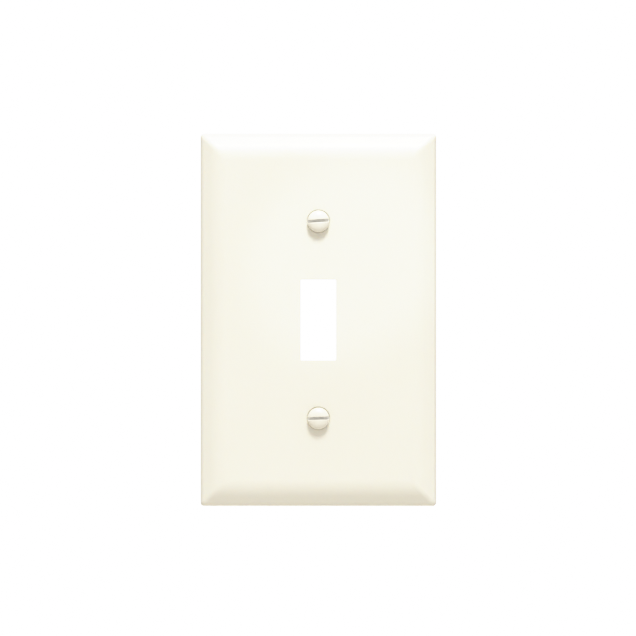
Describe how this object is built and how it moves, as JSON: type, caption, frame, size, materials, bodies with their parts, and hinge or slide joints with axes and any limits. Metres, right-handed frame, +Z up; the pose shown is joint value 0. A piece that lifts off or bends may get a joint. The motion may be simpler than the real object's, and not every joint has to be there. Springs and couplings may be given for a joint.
{
  "type": "toggle switch wall plate",
  "caption": "Light almond wall plate with a bevelled edge and an upright toggle opening, held by slotted oval-head screws with captive retainer washers.",
  "frame": {"origin": "centre of the plate on the wall plane, where its back rim lies", "axes": "+X to the right seen from the front, +Y into the wall, +Z up; the front face looks along -Y"},
  "size_m": [0.0724, 0.0143, 0.1142],
  "materials": {
    "plate_plastic": "smooth moulded thermoplastic, satin gloss, light almond",
    "painted_screw": "zinc-plated steel, head painted light almond",
    "retainer_nylon": "natural nylon, slightly milky"
  },
  "bodies": {
    "plate": {"wall_plate": "plate_plastic"},
    "upper_carrier": {"upper_screw_retainer": "retainer_nylon"},
    "upper_screw": {"upper_screw": "painted_screw"},
    "lower_carrier": {"lower_screw_retainer": "retainer_nylon"},
    "lower_screw": {"lower_screw": "painted_screw"}
  },
  "joints": [
    {"name": "upper_screw_travel", "type": "slide", "parent": "plate", "child": "upper_carrier", "axis": [0, 1, 0], "range_m": [-0.00079, 0.00159]},
    {"name": "upper_screw_turn", "type": "hinge", "parent": "upper_carrier", "child": "upper_screw", "pos_m": [0, 0, 0.03016], "axis": [0, 1, 0], "range_deg": [-360, 720]},
    {"name": "lower_screw_travel", "type": "slide", "parent": "plate", "child": "lower_carrier", "axis": [0, 1, 0], "range_m": [-0.00079, 0.00159]},
    {"name": "lower_screw_turn", "type": "hinge", "parent": "lower_carrier", "child": "lower_screw", "pos_m": [0, 0, -0.03016], "axis": [0, 1, 0], "range_deg": [-360, 720]}
  ],
  "couplings": [
    {"joint": "upper_screw_turn", "follows": "upper_screw_travel", "rad_per_m": 7915.8},
    {"joint": "lower_screw_turn", "follows": "lower_screw_travel", "rad_per_m": 7915.8}
  ]
}
